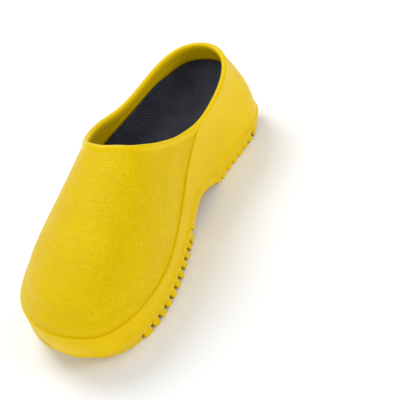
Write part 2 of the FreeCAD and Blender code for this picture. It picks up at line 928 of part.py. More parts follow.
doc.recompute()
problems = []
for item in doc.Objects:
    if "Invalid" in item.State or "Error" in item.State:
        problems.append("%s: %s" % (item.Name, item.State))
for made in sub_parts:
    if made.Shape.isNull() or not made.Shape.isValid() or not made.Shape.Solids:
        problems.append("%s has no valid solid" % made.Label)
if problems:
    raise RuntimeError("; ".join(problems))

os.makedirs("parts", exist_ok=True)
for made in sub_parts:
    volume = made.Shape.Volume / 1000.0
    print("%-24s %2d solids %8.1f cm3" % (made.Label, len(made.Shape.Solids), volume))
    made.Shape.exportStep("parts/%s.step" % made.Label)
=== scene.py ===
import math

import bmesh
import bpy
import numpy as np
from mathutils import Matrix, Vector, noise


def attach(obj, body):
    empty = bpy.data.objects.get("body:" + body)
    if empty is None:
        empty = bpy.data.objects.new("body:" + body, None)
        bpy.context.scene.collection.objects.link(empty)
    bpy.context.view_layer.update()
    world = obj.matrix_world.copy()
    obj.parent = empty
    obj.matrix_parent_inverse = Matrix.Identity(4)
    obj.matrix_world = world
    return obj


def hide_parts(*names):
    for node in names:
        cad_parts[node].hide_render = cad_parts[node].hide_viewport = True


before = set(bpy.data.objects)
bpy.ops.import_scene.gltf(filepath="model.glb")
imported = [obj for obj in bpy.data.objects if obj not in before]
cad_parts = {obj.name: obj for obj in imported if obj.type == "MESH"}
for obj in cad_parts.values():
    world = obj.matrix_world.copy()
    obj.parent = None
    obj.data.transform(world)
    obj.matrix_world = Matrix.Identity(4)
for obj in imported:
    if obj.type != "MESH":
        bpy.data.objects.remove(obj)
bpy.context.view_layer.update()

# A moulded garden clog for the right foot, in metres: X to the inner side, Y from toe to heel,
# Z up.  The shell's surfaces come from the same stations as the CAD bodies, here in
# millimetres and turned to metres when a mesh is made.

MM = 0.001
LENGTH = 290.0
MIDDLE = 3.0            # x of the origin in the stations' plan
TOE_DISTANCE = 145.7    # from the origin forward to station 0
WALL = 4.0
SIDE_GAP = 1.8          # between the wall and the footbed's edge

# ------------------------------------------------------------------ the shell's surface

# Matched stations round the clog, from the toe by the inner side, the heel and the outer
# side: outline x and station, collar x and station, collar height, height of the vamp's
# dome over the welt, and the part of the way to the collar that the dome takes up.
STATIONS = np.array([
    (19, 1, 3, 125, 102, 17, 0.42),
    (42, 7, 15, 127, 103, 21, 0.45),
    (56, 23, 25, 130, 102, 25, 0.55),
    (62, 55, 31, 137, 98, 32, 0.75),
    (58, 92, 33, 150, 89, 36, 0.95),
    (47, 130, 34, 169, 78, 36, 1.0),
    (38, 168, 36, 193, 68, 32, 1.0),
    (35, 209, 35, 222, 67, 29, 1.0),
    (38, 247, 30, 252, 72, 29, 1.0),
    (33, 279, 16, 273, 76, 28, 1.0),
    (3, 291, -4, 280, 77, 25, 1.0),
    (-27, 283, -24, 271, 76, 23, 1.0),
    (-42, 252, -36, 249, 72, 21, 1.0),
    (-46, 215, -39, 220, 69, 18, 1.0),
    (-52, 172, -38, 190, 72, 15, 1.0),
    (-56, 131, -37, 167, 79, 12, 0.95),
    (-55, 95, -31, 145, 86, 9, 0.8),
    (-48, 58, -23, 133, 92, 8, 0.65),
    (-34, 27, -14, 127, 98, 10, 0.5),
    (-8, 7, -6, 125, 101, 14, 0.43),
], float)


def profile(points):
    """A height curve through (station, height) points that doesn't overshoot."""
    xs, ys = np.array(points, float).T
    spans = np.diff(xs)
    slopes = np.diff(ys) / spans
    tangents = np.zeros(len(xs))
    tangents[0], tangents[-1] = slopes[0], slopes[-1]
    for i in range(1, len(slopes)):
        left, right = slopes[i - 1], slopes[i]
        if left * right > 0:
            w_left = 2 * spans[i] + spans[i - 1]
            w_right = spans[i] + 2 * spans[i - 1]
            tangents[i] = (w_left + w_right) / (w_left / left + w_right / right)

    def height(x):
        x = np.clip(x, xs[0], xs[-1])
        i = np.clip(np.searchsorted(xs, x, side="right") - 1, 0, len(spans) - 1)
        w = spans[i]
        f = (x - xs[i]) / w
        return (ys[i] * (1 + 2 * f) * (1 - f) ** 2 + tangents[i] * w * f * (1 - f) ** 2
                + ys[i + 1] * f * f * (3 - 2 * f) + tangents[i + 1] * w * f * f * (f - 1))

    return height


def ease(x):
    x = np.clip(x, 0, 1)
    return x * x * (3 - 2 * x)


TOE_SPRING, TOE_SPRING_END = 13, 48
ARCH_RISE, ARCH_FRONT, ARCH_TOP, ARCH_BACK = 13, 125, 168, 203
HEEL_ROLL, HEEL_ROLL_START = 13, 258


def ground_height(u):
    """Underside of the tread: toe spring, flat forefoot, arch, flat heel, rolled-up end."""
    u = np.clip(u, 0, LENGTH)
    toe = TOE_SPRING * np.maximum(0, 1 - u / TOE_SPRING_END) ** 2
    rise = ease((u - ARCH_FRONT) / (ARCH_TOP - ARCH_FRONT))
    fall = ease((ARCH_BACK - u) / (ARCH_BACK - ARCH_TOP)) ** 0.7
    heel = np.maximum(0, u - HEEL_ROLL_START) / (LENGTH - HEEL_ROLL_START)
    return toe + ARCH_RISE * np.where(u < ARCH_TOP, rise, fall) + HEEL_ROLL * heel ** 1.5


ridge_height = profile([(0, 18), (25, 16), (90, 14), (130, 14), (168, 21), (190, 18),
                        (209, 14), (250, 14), (275, 16), (291, 19)])
ground_inset = profile([(0, 5), (25, 6), (60, 3), (100, 2), (170, 1.5), (291, 2)])
welt_height = profile([(0, 37), (20, 31.5), (40, 28.5), (80, 26.5), (115, 30), (140, 38),
                       (160, 49), (180, 60), (200, 71), (215, 84)])
insole_height = profile([(0, 34), (20, 27.5), (60, 25.5), (105, 27), (135, 33), (160, 40),
                         (190, 44), (225, 44.5), (245, 47), (265, 57), (291, 66)])
insole_cup = profile([(0, 1), (90, 2), (120, 5), (150, 11), (180, 18), (210, 26), (240, 29),
                      (265, 18), (291, 3)])

DOME_POWER = 2.6
SPREAD_POWER = 1.8
WELT_ROW = 6
ROWS_TO_COLLAR = 13
COLLAR_ROW = WELT_ROW + ROWS_TO_COLLAR
COLUMNS = 40
BELOW_GROUND = -14
ABOVE_COLLAR = (108, 124, 140)
RIM_DROP = 1.2          # the walls stop this far under the collar's line


def spline_poles(values):
    """Poles of the closed cubic that passes through the values, along the first axis."""
    k = np.arange(len(values))
    gain = (4 + 2 * np.cos(2 * np.pi * k / len(values))) / 6
    shape = (-1,) + (1,) * (values.ndim - 1)
    return np.real(np.fft.ifft(np.fft.fft(values, axis=0) / gain.reshape(shape), axis=0))


def closed_basis(t, count):
    """Weights of a closed cubic's poles at parameters t."""
    weights = np.zeros((len(t), count))
    i = np.floor(t).astype(int)
    f = t - i
    parts = [(1 - f) ** 3, 3 * f ** 3 - 6 * f ** 2 + 4, -3 * f ** 3 + 3 * f ** 2 + 3 * f + 1,
             f ** 3]
    for shift, part in zip((-1, 0, 1, 2), parts):
        np.add.at(weights, (np.arange(len(t)), (i + shift) % count), part / 6)
    return weights


def clamped_basis(s, count):
    """Weights of a clamped cubic's poles at parameters s, with unit spans."""
    knots = np.r_[[0] * 3, np.arange(count - 2), [count - 3] * 3].astype(float)
    s = np.clip(s, 0, count - 3 - 1e-9)
    weights = ((s[..., None] >= knots[:-1]) & (s[..., None] < knots[1:])).astype(float)
    for degree in (1, 2, 3):
        size = weights.shape[-1] - 1
        low, high = knots[:size], knots[degree:degree + size]
        span = np.where(high > low, high - low, 1)
        rising = (s[..., None] - low) / span * weights[..., :-1] * (high > low)
        low2, high2 = knots[1:1 + size], knots[degree + 1:degree + 1 + size]
        span2 = np.where(high2 > low2, high2 - low2, 1)
        falling = (high2 - s[..., None]) / span2 * weights[..., 1:] * (high2 > low2)
        weights = rising + falling
    return weights


def shell_poles():
    """Poles of the outer surface, as columns round the clog by rows from the ground up."""
    t = np.arange(COLUMNS) * len(STATIONS) / COLUMNS
    row = closed_basis(t, len(STATIONS)) @ spline_poles(STATIONS)
    outline, collar, top = row[:, :2], row[:, 2:4], row[:, 4]
    dome, reach = row[:, 5], np.clip(row[:, 6], 0.3, 1.0)
    u = outline[:, 1]
    inward = collar - outline
    inward /= np.linalg.norm(inward, axis=1)[:, None]
    heel = ease((u - 120) / 90)
    ridge = ridge_height(u)
    ground = ground_height(u)
    shelf = (1 - heel) * welt_height(np.minimum(u, 120)) + heel * (ridge + 0.35 * (top - ridge))
    foot = outline + inward * ground_inset(u)[:, None]
    side = outline + inward * (2 * heel - 1)[:, None]
    welt = outline + inward * (1.5 * (1 - heel) + 2.5 * heel)[:, None]

    def ring(plan, z):
        return np.c_[plan, np.broadcast_to(z, len(plan))]

    rings = [ring(foot, BELOW_GROUND), ring(foot, (ground + BELOW_GROUND) / 2),
             ring(foot, ground),
             ring((foot + outline) / 2, (ground + ridge) / 2), ring(outline, ridge),
             ring(side, (ridge + shelf) / 2), ring(welt, shelf)]
    dome = np.minimum(dome, top - shelf - 2) * (1 - heel)
    for f in np.arange(1, ROWS_TO_COLLAR + 1) / ROWS_TO_COLLAR:
        spread = f ** SPREAD_POWER
        g = np.minimum(spread / reach, 1)
        arch = (1 - (1 - g) ** DOME_POWER) ** (1 / DOME_POWER)
        front_z = shelf + dome * arch + (top - shelf - dome) * spread
        heel_z = shelf + (top - shelf) * f
        along = (1 - heel) * spread + heel * f ** 1.25
        proud = 1.1 * np.sin(np.pi * np.minimum(1.2 * g, 1)) * (1 - heel)
        plan = welt + (collar - welt) * along[:, None] - inward * proud[:, None]
        rings.append(ring(plan, (1 - heel) * front_z + heel * heel_z))
    rings += [ring(collar, z) for z in ABOVE_COLLAR]
    grid = np.stack(rings, axis=1)
    return spline_poles(grid - np.array([MIDDLE, TOE_DISTANCE, 0]))


POLES = shell_poles()
ROWS = POLES.shape[1]
NEARBY = 0.02           # parameter step to the neighbour that gives a surface direction


def shell(t, s):
    """Points and outward normals of the outer surface: t (columns) round, s (columns, rows)
    up the wall."""
    columns = np.einsum("tc,crk->trk", closed_basis(t, COLUMNS), POLES)
    ahead = np.einsum("tc,crk->trk", closed_basis((t + NEARBY) % COLUMNS, COLUMNS), POLES)
    at, up = clamped_basis(s, ROWS), clamped_basis(s + NEARBY, ROWS)
    points = np.einsum("tsr,trk->tsk", at, columns)
    around = np.einsum("tsr,trk->tsk", at, ahead) - points
    rise = np.einsum("tsr,trk->tsk", up, columns) - points
    normals = np.cross(around, rise)
    normals /= np.linalg.norm(normals, axis=-1)[..., None]
    return points, normals


FINE_ROWS = np.linspace(0.2, COLLAR_ROW + 0.5, 440)
FINE_BASIS = clamped_basis(FINE_ROWS, ROWS)


def rows_where(t, level):
    """For each column, the row parameter where its height first passes level(points): the
    first row where the level lies under it, the last row where the level isn't reached."""
    columns = np.einsum("tc,crk->trk", closed_basis(t, COLUMNS), POLES)
    points = np.matmul(FINE_BASIS, columns)
    over = points[..., 2] - level(points)
    found = np.where(over[:, 0] > 0, FINE_ROWS[0], FINE_ROWS[-1])
    for i in range(len(t)):
        hits = np.nonzero((over[i, :-1] <= 0) & (over[i, 1:] > 0))[0]
        if len(hits):
            j = hits[0]
            f = over[i, j] / (over[i, j] - over[i, j + 1])
            found[i] = FINE_ROWS[j] + f * (FINE_ROWS[j + 1] - FINE_ROWS[j])
    return found


def station_of(points):
    return points[..., 1] + TOE_DISTANCE


def collar_height_poles():
    t = np.arange(COLUMNS) * len(STATIONS) / COLUMNS
    return spline_poles(closed_basis(t, len(STATIONS)) @ spline_poles(STATIONS[:, 4]))


COLLAR_HEIGHT_POLES = collar_height_poles()


def wall_top(t):
    """Height of the walls' upper edge, just under the rolled rim."""
    return closed_basis(t, COLUMNS) @ COLLAR_HEIGHT_POLES - RIM_DROP


def top_rows(t):
    height = wall_top(t)
    return rows_where(t, lambda p: height[:, None])


def welt_rows(t):
    rows = rows_where(t, lambda p: welt_height(station_of(p)))
    return np.minimum(rows, top_rows(t))


def between(low, high, steps):
    """Row parameters of each column, from its low to its high row."""
    return low[:, None] + (high - low)[:, None] * steps


# ------------------------------------------------------------------ mesh helpers

def mesh_object(name, verts, faces, shade_smooth=True):
    mesh = bpy.data.meshes.new(name)
    mesh.from_pydata((np.asarray(verts) * MM).tolist(), [], faces)
    mesh.validate()
    mesh.polygons.foreach_set("use_smooth", [shade_smooth] * len(mesh.polygons))
    made = bpy.data.objects.new(name, mesh)
    bpy.context.scene.collection.objects.link(made)
    return made


def tube_faces(rings, points, closed):
    """Quads of a grid of rings by points, closed round its points and, if closed, its rings."""
    faces = []
    for i in range(rings if closed else rings - 1):
        j = (i + 1) % rings
        for k in range(points):
            m = (k + 1) % points
            faces.append((i * points + k, j * points + k, j * points + m, i * points + m))
    return faces


def end_caps(rings, points):
    """The two end faces of an open tube."""
    return [tuple(range(points))[::-1], tuple(range((rings - 1) * points, rings * points))]


def wrapped_strip(name, outer, inner, closed):
    """A closed wall from an outer and an inner grid (columns by rows)."""
    loop = np.concatenate([outer, inner[:, ::-1]], axis=1)
    count, points = loop.shape[:2]
    faces = tube_faces(count, points, closed)
    if not closed:
        faces += end_caps(count, points)
    made = mesh_object(name, loop.reshape(-1, 3), faces)
    tidy(made)
    return made


def tidy(made, merge=0.02):
    """Merges coincident points and turns the faces outwards."""
    work = bmesh.new()
    work.from_mesh(made.data)
    bmesh.ops.remove_doubles(work, verts=work.verts, dist=merge * MM)
    bmesh.ops.dissolve_degenerate(work, dist=merge * MM * 0.2, edges=work.edges)
    bmesh.ops.recalc_face_normals(work, faces=work.faces)
    work.to_mesh(made.data)
    work.free()


def finish_piece(made, body, slot, material, *nodes):
    """Gives a piece its material and body, and hides the CAD nodes that it replaces. The slot is
    not used.
    """
    made.data.materials.clear()
    made.data.materials.append(material)
    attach(made, body)
    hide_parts(*nodes)


# ------------------------------------------------------------------ materials

def node_tree(name):
    material = bpy.data.materials.new(name)
    material.use_nodes = True
    nodes = material.node_tree.nodes
    return material, nodes, material.node_tree.links, nodes["Principled BSDF"]


def add(nodes, kind, **values):
    made = nodes.new(kind)
    for key, value in values.items():
        if key in made.inputs:
            made.inputs[key].default_value = value
        else:
            setattr(made, key, value)
    return made


def mapped(nodes, links, scale, turn=(0, 0, 0)):
    """Object coordinates, scaled (repeats per metre) and turned."""
    coordinates = add(nodes, "ShaderNodeTexCoord")
    mapping = add(nodes, "ShaderNodeMapping", Scale=scale, Rotation=turn)
    links.new(coordinates.outputs["Object"], mapping.inputs["Vector"])
    return mapping.outputs["Vector"]


def ramp(nodes, links, source, stops):
    made = add(nodes, "ShaderNodeValToRGB")
    links.new(source, made.inputs["Fac"])
    elements = made.color_ramp.elements
    while len(elements) < len(stops):
        elements.new(0.5)
    for element, (position, colour) in zip(elements, stops):
        element.position = position
        element.color = (*colour, 1) if len(colour) == 3 else colour
    return made.outputs["Color"]


def grey(nodes, links, source, low, high):
    made = add(nodes, "ShaderNodeMapRange", **{"To Min": low, "To Max": high})
    links.new(source, made.inputs["Value"])
    return made.outputs["Result"]


def bump(nodes, links, source, distance, strength, before=None):
    made = add(nodes, "ShaderNodeBump", Distance=distance, Strength=strength)
    links.new(source, made.inputs["Height"])
    if before is not None:
        links.new(before, made.inputs["Normal"])
    return made.outputs["Normal"]


YELLOW_DEEP = (0.71, 0.47, 0.0008)
YELLOW = (0.74, 0.50, 0.001)
YELLOW_PALE = (0.77, 0.53, 0.0015)
GLOSS_TINT = (1.0, 0.82, 0.12, 1)
GLOSS_LEVEL = 0.24
ROUGHNESS_SPREAD = 0.09


def rubber(name, roughness, grain, wrinkle):
    """Moulded polyurethane: strong yellow, satin, with a leather grain where grain > 0."""
    material, nodes, links, shader = node_tree(name)
    cloud = add(nodes, "ShaderNodeTexNoise", Scale=1.0, Detail=5.0, Roughness=0.6)
    links.new(mapped(nodes, links, (38, 38, 38)), cloud.inputs["Vector"])
    colour = ramp(nodes, links, cloud.outputs["Fac"],
                  [(0.25, YELLOW_DEEP), (0.5, YELLOW), (0.8, YELLOW_PALE)])
    links.new(colour, shader.inputs["Base Color"])
    speck = add(nodes, "ShaderNodeTexNoise", Scale=1.0, Detail=8.0, Roughness=0.7)
    links.new(mapped(nodes, links, (900, 900, 900)), speck.inputs["Vector"])
    rough = grey(nodes, links, speck.outputs["Fac"], roughness - ROUGHNESS_SPREAD,
                 roughness + ROUGHNESS_SPREAD)
    links.new(rough, shader.inputs["Roughness"])
    normal = bump(nodes, links, speck.outputs["Fac"], 0.00006, 0.35)
    if grain:
        cells = add(nodes, "ShaderNodeTexVoronoi", Scale=1.0, Randomness=1.0,
                    feature="DISTANCE_TO_EDGE")
        links.new(warped(nodes, links, (520, 900, 700)), cells.inputs["Vector"])
        edges = ramp(nodes, links, cells.outputs["Distance"],
                     [(0.0, (0, 0, 0)), (0.22, (0.8, 0.8, 0.8)), (0.6, (1, 1, 1))])
        normal = bump(nodes, links, edges, 0.0002, grain, normal)
        folds = add(nodes, "ShaderNodeTexNoise", Scale=1.0, Detail=3.0, Roughness=0.55,
                    Distortion=0.6)
        links.new(mapped(nodes, links, (170, 800, 700)), folds.inputs["Vector"])
        normal = bump(nodes, links, folds.outputs["Fac"], 0.0009, wrinkle, normal)
    links.new(normal, shader.inputs["Normal"])
    shader.inputs["Specular IOR Level"].default_value = GLOSS_LEVEL
    shader.inputs["Specular Tint"].default_value = GLOSS_TINT
    return material


def warped(nodes, links, scale):
    """Object coordinates pushed about by noise, so that cells don't line up."""
    push = add(nodes, "ShaderNodeTexNoise", Scale=1.0, Detail=2.0)
    links.new(mapped(nodes, links, (260, 260, 260)), push.inputs["Vector"])
    mix = add(nodes, "ShaderNodeVectorMath", operation="MULTIPLY_ADD")
    links.new(push.outputs["Color"], mix.inputs[0])
    mix.inputs[1].default_value = (1.6, 1.6, 1.6)
    links.new(mapped(nodes, links, scale), mix.inputs[2])
    return mix.outputs[0]


WEAVE_SCALE, WEAVE_WOBBLE, WEAVE_TURN = 250.0, 0.7, math.radians(38)


def weave_rows(nodes, links, place, direction):
    made = add(nodes, "ShaderNodeTexWave", Scale=WEAVE_SCALE, Distortion=WEAVE_WOBBLE,
               bands_direction=direction)
    made.inputs["Detail Scale"].default_value = 2.0
    links.new(place, made.inputs["Vector"])
    return made


def woven_cloth(name):
    """Navy cover: dark ground with rows of small raised, paler dots."""
    material, nodes, links, shader = node_tree(name)
    turned = mapped(nodes, links, (1, 1, 1), (0, 0, WEAVE_TURN))
    rows = weave_rows(nodes, links, turned, "X")
    columns = weave_rows(nodes, links, turned, "Y")
    dots = add(nodes, "ShaderNodeMath", operation="MULTIPLY")
    links.new(rows.outputs["Fac"], dots.inputs[0])
    links.new(columns.outputs["Fac"], dots.inputs[1])
    patch = add(nodes, "ShaderNodeTexNoise", Scale=1.0, Detail=4.0)
    links.new(mapped(nodes, links, (60, 60, 60)), patch.inputs["Vector"])
    shade = grey(nodes, links, patch.outputs["Fac"], 0.7, 1.15)
    lifted = add(nodes, "ShaderNodeMath", operation="MULTIPLY")
    links.new(dots.outputs[0], lifted.inputs[0])
    links.new(shade, lifted.inputs[1])
    colour = ramp(nodes, links, lifted.outputs[0],
                  [(0.25, (0.007, 0.009, 0.017)), (0.62, (0.018, 0.022, 0.036)),
                   (0.95, (0.2, 0.22, 0.26))])
    links.new(colour, shader.inputs["Base Color"])
    fibre = add(nodes, "ShaderNodeTexNoise", Scale=1.0, Detail=6.0)
    links.new(mapped(nodes, links, (2600, 2600, 2600)), fibre.inputs["Vector"])
    normal = bump(nodes, links, dots.outputs[0], 0.0004, 0.8)
    normal = bump(nodes, links, fibre.outputs["Fac"], 0.0001, 0.5, normal)
    links.new(normal, shader.inputs["Normal"])
    links.new(grey(nodes, links, fibre.outputs["Fac"], 0.75, 0.95), shader.inputs["Roughness"])
    shader.inputs["Sheen Weight"].default_value = 0.06
    shader.inputs["Sheen Roughness"].default_value = 0.5
    shader.inputs["Specular IOR Level"].default_value = 0.2
    return material


def speckled(name, stops, scale, roughness, distance):
    """Cork, jute or felt: coloured grains, scale of them per metre, with a rough surface."""
    material, nodes, links, shader = node_tree(name)
    grains = add(nodes, "ShaderNodeTexVoronoi", Scale=1.0, Randomness=1.0)
    links.new(mapped(nodes, links, scale), grains.inputs["Vector"])
    colour = ramp(nodes, links, grains.outputs["Color"], stops)
    links.new(colour, shader.inputs["Base Color"])
    links.new(bump(nodes, links, grains.outputs["Distance"], distance, 0.8),
              shader.inputs["Normal"])
    links.new(grey(nodes, links, grains.outputs["Distance"], roughness - 0.1, roughness),
              shader.inputs["Roughness"])
    return material


grained = rubber("grained_rubber_yellow", 0.42, 0.7, 0.85)
smooth = rubber("smooth_rubber_yellow", 0.40, 0, 0)
tread = rubber("tread_rubber_yellow", 0.46, 0.2, 0)
navy = woven_cloth("navy_woven_cover")
cork = speckled("pressed_cork", [(0.1, (0.20, 0.10, 0.04)), (0.5, (0.42, 0.25, 0.12)),
                                 (0.9, (0.60, 0.42, 0.24))], (520, 520, 520), 0.9, 0.0004)
jute = speckled("jute_mesh", [(0.2, (0.016, 0.018, 0.026)), (0.6, (0.03, 0.032, 0.042)),
                              (0.9, (0.06, 0.062, 0.075))], (900, 300, 900), 0.95, 0.0003)
felt = speckled("liner_felt", [(0.2, (0.16, 0.14, 0.11)), (0.6, (0.28, 0.25, 0.20)),
                               (0.9, (0.40, 0.37, 0.30))], (1500, 500, 1500), 0.95, 0.0002)


# ------------------------------------------------------------------ upper

SPAN_SAMPLES = 800
LEAST_VAMP = 0.5
VAMP_GRID = (540, 150)
SIDE_GRID = (680, 100)
VAMP_INNER_ROWS, SIDE_INNER_ROWS = 18, 20


def vamp_span():
    """The columns where the welt meets the collar: on the outer and on the inner side."""
    t = np.linspace(0, COLUMNS, SPAN_SAMPLES, endpoint=False)
    points, _ = shell(t, top_rows(t)[:, None])
    has_vamp = wall_top(t) > welt_height(station_of(points[:, 0])) + LEAST_VAMP
    half = SPAN_SAMPLES // 2
    inner = t[:half][has_vamp[:half]].max()
    outer = t[half:][has_vamp[half:]].min() - COLUMNS
    return outer, inner


VAMP_FROM, VAMP_TO = vamp_span()


GRAIN_DEPTH, GRAIN_WIDTH = 0.3, 0.34
GRAIN_WARP, GRAIN_WARP_SCALE = 0.7, 0.05
GRAIN_SCALE = (0.13, 0.5, 0.44)
GRAIN_FADE = 14         # the grain fades over 1/14 of the height at both edges
CREASE_DEPTH, CREASE_HEIGHT, CREASE_WIDTH = 1.5, 13, 4.0
CREASE_FADE_START, CREASE_FADE = 22, 45


def grain_height(points):
    """Leather wrinkles across the vamp, in millimetres: longer across than along."""
    heights = np.zeros(len(points))
    for i, p in enumerate(points):
        warp = noise.noise(Vector(p * GRAIN_WARP_SCALE)) * GRAIN_WARP
        fold = noise.noise(Vector((p[0] * GRAIN_SCALE[0] + warp, p[1] * GRAIN_SCALE[1],
                                   p[2] * GRAIN_SCALE[2] + warp)))
        heights[i] = -GRAIN_DEPTH * max(0.0, GRAIN_WIDTH - abs(fold)) / GRAIN_WIDTH
    return heights


def toe_crease(points):
    """Offset of the shallow crease above the welt, round the front of the toe."""
    over_welt = points[..., 2] - points[:, :1, 2]
    front = 1 - ease((station_of(points[:, :1]) - CREASE_FADE_START) / CREASE_FADE)
    return -CREASE_DEPTH * front * np.exp(-(((over_welt - CREASE_HEIGHT) / CREASE_WIDTH) ** 2))


def make_vamp():
    columns, count = VAMP_GRID
    t = np.linspace(VAMP_FROM, VAMP_TO, columns) % COLUMNS
    low, high = welt_rows(t), top_rows(t)
    steps = np.linspace(0, 1, count)
    points, normals = shell(t, between(low, high, steps))
    fade = np.clip(np.minimum(steps, 1 - steps) * GRAIN_FADE, 0, 1)
    grain = grain_height(points.reshape(-1, 3)).reshape(columns, count) * fade
    outer = points + normals * (grain + toe_crease(points))[..., None]
    points, normals = shell(t, between(low, high, np.linspace(0, 1, VAMP_INNER_ROWS)))
    made = wrapped_strip("vamp_upper", outer, points - normals * WALL, False)
    finish_piece(made, "shell", "grained_rubber", grained, "vamp")


TOOTH_ROWS = ((49, 9), (138, 7), (210, 6))      # first station and number of the gaps
TOOTH_PITCH = 9
GAP_MIDDLE, GAP_HALF = 1.6, 1.5
GROOVE_DEPTH = 1.3
SKIRT_COLUMNS = (10.2, 16.6)    # the smooth arch edge on the inner side
SKIRT_FADE = 0.8
LOW_EDGE, SKIRT_DROP = 6.3, 5.3
EDGE_LINE, EDGE_LINE_WIDTH = 1.3, 0.8
PROUD = 0.12            # keeps the mesh clear of the CAD faces behind it


def tooth_grooves(station):
    """1 in the middle of the gaps between the side lugs, 0 on the lugs."""
    depth = np.zeros_like(station)
    for first, count in TOOTH_ROWS:
        for k in range(count):
            middle = first + TOOTH_PITCH * k + GAP_MIDDLE
            depth = np.maximum(depth, np.exp(-(((station - middle) / GAP_HALF) ** 4)))
    return depth


def side_relief(points, skirt):
    """Offset of the edge line, the step under it and the grooves between the lugs."""
    station = station_of(points)
    above_ridge = points[..., 2] - ridge_height(station)
    line = EDGE_LINE * np.exp(-((above_ridge / EDGE_LINE_WIDTH) ** 2))
    step = 0.5 * ease((0.4 - above_ridge) / 1.2)
    over_ground = points[..., 2] - ground_height(station)
    under_line = ease((-above_ridge - 1.0) / 4.0) * ease((11.5 - over_ground) / 3.5)
    grooves = -GROOVE_DEPTH * tooth_grooves(station) * under_line * (1 - skirt)[:, None]
    return PROUD + line + step + grooves


def make_side_wall():
    columns, count = SIDE_GRID
    t = np.linspace(0, COLUMNS, columns, endpoint=False)
    skirt_from, skirt_to = SKIRT_COLUMNS
    skirt = ease((t - skirt_from) / SKIRT_FADE) * ease((skirt_to - t) / SKIRT_FADE)
    edge = (LOW_EDGE - SKIRT_DROP * skirt)[:, None]
    low = rows_where(t, lambda p: ground_height(station_of(p)) + edge)
    high = welt_rows(t)
    points, normals = shell(t, between(low, high, np.linspace(0, 1, count) ** 1.3))
    outer = points + normals * side_relief(points, skirt)[..., None]
    points, normals = shell(t, between(low, high, np.linspace(0, 1, SIDE_INNER_ROWS)))
    made = wrapped_strip("side_wall_and_heel_cup", outer, points - normals * WALL, True)
    finish_piece(made, "shell", "smooth_rubber", smooth, "heel_and_side_wall")


# Half of the rim's section: out from the wall's middle, and up along the wall.
RIM_HALF = [(1.8, -4.2), (2.0, -3.6), (2.12, -2.6), (2.3, -1.4), (2.42, -0.2), (2.4, 0.9),
            (2.15, 1.8), (1.6, 2.5), (0.75, 2.9)]
RIM_RINGS = 620
RIM_REACH = 0.8         # rows down the wall to the point that gives the rim's up direction


def make_rim():
    t = np.linspace(0, COLUMNS, RIM_RINGS, endpoint=False)
    rows = top_rows(t)[:, None]
    point, normal = shell(t, rows)
    lower, _ = shell(t, rows - RIM_REACH)
    point, normal, lower = point[:, 0], normal[:, 0], lower[:, 0]
    up = point - lower
    up -= normal * (up * normal).sum(1)[:, None]
    up /= np.linalg.norm(up, axis=1)[:, None]
    centre = point - normal * (WALL / 2)
    section = RIM_HALF + [(-n, b) for n, b in RIM_HALF[::-1]]
    rings = np.stack([centre + normal * n + up * b for n, b in section], axis=1)
    made = mesh_object("collar_rolled_rim", rings.reshape(-1, 3),
                       tube_faces(len(t), len(section), True))
    tidy(made)
    finish_piece(made, "shell", "smooth_rubber", smooth, "collar_rim")


WELT_RINGS, WELT_POINTS = 1500, 20
WELT_OVERRUN = 0.12     # columns past the vamp's ends
BEAD_RADIUS, ROPE_EXTRA, STRAND_DEPTH = 1.55, 0.25, 0.6
ROPE_START, ROPE_FADE = 45, 35
ROPE_PITCH = 5.2
THIN_START, THIN_FADE, THINNING = 140, 50, 0.6


def make_welt():
    """Welt: a plain bead round the toe that turns into a two-strand rope along the sides."""
    t = np.linspace(VAMP_FROM - WELT_OVERRUN, VAMP_TO + WELT_OVERRUN, WELT_RINGS)
    rows = welt_rows(t % COLUMNS)[:, None]
    point, normal = shell(t % COLUMNS, rows)
    point, normal = point[:, 0], normal[:, 0]
    tangent = np.gradient(point, axis=0)
    run = np.r_[0, np.cumsum(np.linalg.norm(np.diff(point, axis=0), axis=1))]
    tangent /= np.linalg.norm(tangent, axis=1)[:, None]
    across = np.cross(tangent, normal)
    across /= np.linalg.norm(across, axis=1)[:, None]
    station = station_of(point)
    rope = ease((station - ROPE_START) / ROPE_FADE)[:, None]
    angle = np.linspace(0, 2 * np.pi, WELT_POINTS, endpoint=False)
    twist = np.abs(np.cos(angle[None, :] - 2 * np.pi * run[:, None] / ROPE_PITCH))
    ends = 1 - THINNING * ease((station - THIN_START) / THIN_FADE)
    radius = BEAD_RADIUS + ROPE_EXTRA * rope + STRAND_DEPTH * rope * (twist - 0.6)
    radius *= ends[:, None]
    rings = (point[:, None] + normal[:, None] * (radius * np.cos(angle))[..., None]
             + across[:, None] * (radius * np.sin(angle))[..., None])
    faces = tube_faces(len(t), len(angle), False)
    faces += end_caps(len(t), len(angle))
    made = mesh_object("welt_piping", rings.reshape(-1, 3), faces)
    tidy(made)
    finish_piece(made, "shell", "smooth_rubber", smooth, "welt_bead")


# ------------------------------------------------------------------ footbed cover

CUP_POWER = 2.6


def insole_z(x, u):
    """Height of the foot side: the middle line's height and a cup that rises to the sides."""
    middle = 1.0 - 6.0 * ease((u - 110) / 80)
    half = 56 - 17 * ease((u - 90) / 90)
    edge = np.minimum(np.abs(x - middle) / half, 1.25)
    return insole_height(u) + insole_cup(u) * edge ** CUP_POWER


def footbed_ring(t, drop):
    """The footbed's edge, drop below its foot side, and the inward plan direction."""
    inset = WALL + SIDE_GAP

    def level(points):
        return insole_z(points[..., 0], station_of(points)) - drop

    rows = rows_where(t, level)[:, None]
    points, normals = shell(t, rows)
    points = points[:, 0] - normals[:, 0] * inset
    points[:, 2] = insole_z(points[:, 0], station_of(points)) - drop
    inward = -normals[:, 0] * np.array([1, 1, 0])
    return points, inward / np.linalg.norm(inward, axis=1)[:, None]


